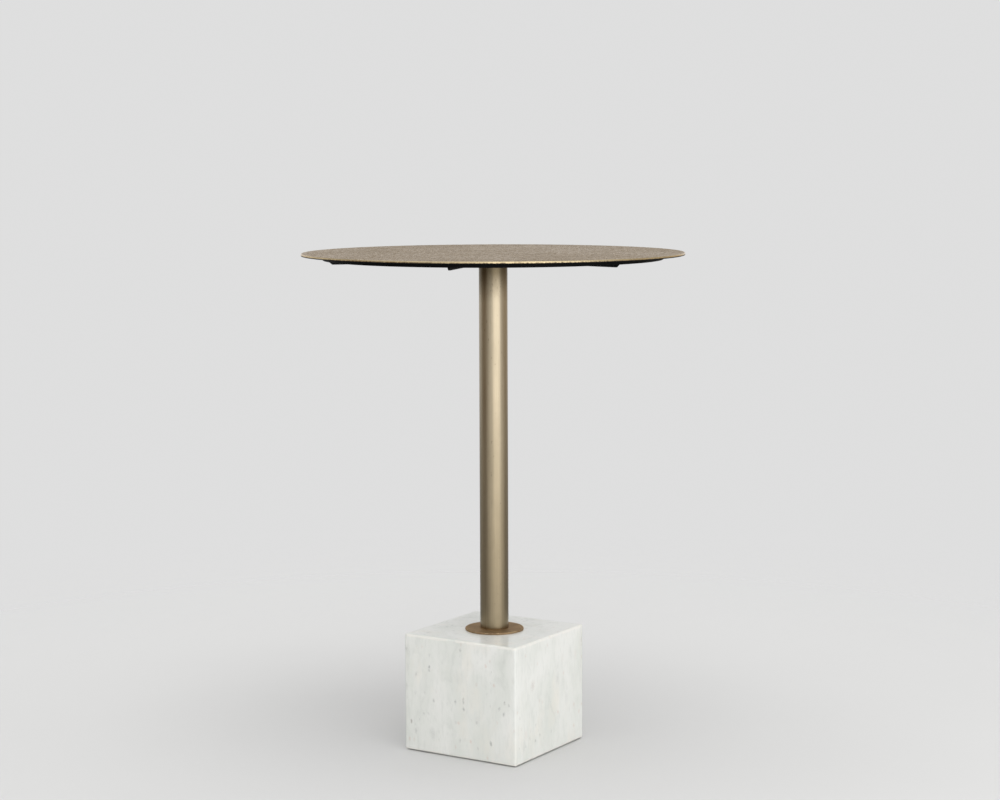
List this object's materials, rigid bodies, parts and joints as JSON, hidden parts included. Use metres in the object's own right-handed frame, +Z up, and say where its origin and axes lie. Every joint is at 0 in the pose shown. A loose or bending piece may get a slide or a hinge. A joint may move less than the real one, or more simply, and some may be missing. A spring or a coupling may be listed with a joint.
{
  "type": "bar table",
  "caption": "Tall bar table: round hammered metal top on a ribbed black frame, a slim round brass-finished column and a heavy square marble block as its foot.",
  "frame": {"origin": "on the floor, under the axis of the column", "axes": "+Z up along the column, X and Y along the sides of the marble block"},
  "size_m": [0.7999, 0.8, 1.05],
  "materials": {
    "hammered_brass": "hammered antique brass, satin",
    "column_brass": "brushed antique brass, satin",
    "black_paint": "satin black paint",
    "zinc": "zinc plated",
    "marble": "honed white marble",
    "pad_rubber": "matt black"
  },
  "bodies": {
    "root": {"top_sheet": "hammered_brass", "column_tube": "column_brass", "base_flange": "column_brass", "column_top_plate": "column_brass", "frame_ring": "black_paint", "hub_plate": "black_paint", "top_bolts": "zinc", "top_washers": "zinc", "column_boss": "zinc", "tie_rod": "zinc", "clamp_plate": "zinc", "spring_washer": "zinc", "clamp_nut": "zinc", "marble_base": "marble", "support_rib_1": "black_paint", "support_rib_2": "black_paint", "support_rib_3": "black_paint", "support_rib_4": "black_paint", "support_rib_5": "black_paint", "support_rib_6": "black_paint", "foot_pad_1": "pad_rubber", "foot_pad_2": "pad_rubber", "foot_pad_3": "pad_rubber", "foot_pad_4": "pad_rubber"}
  },
  "joints": []
}
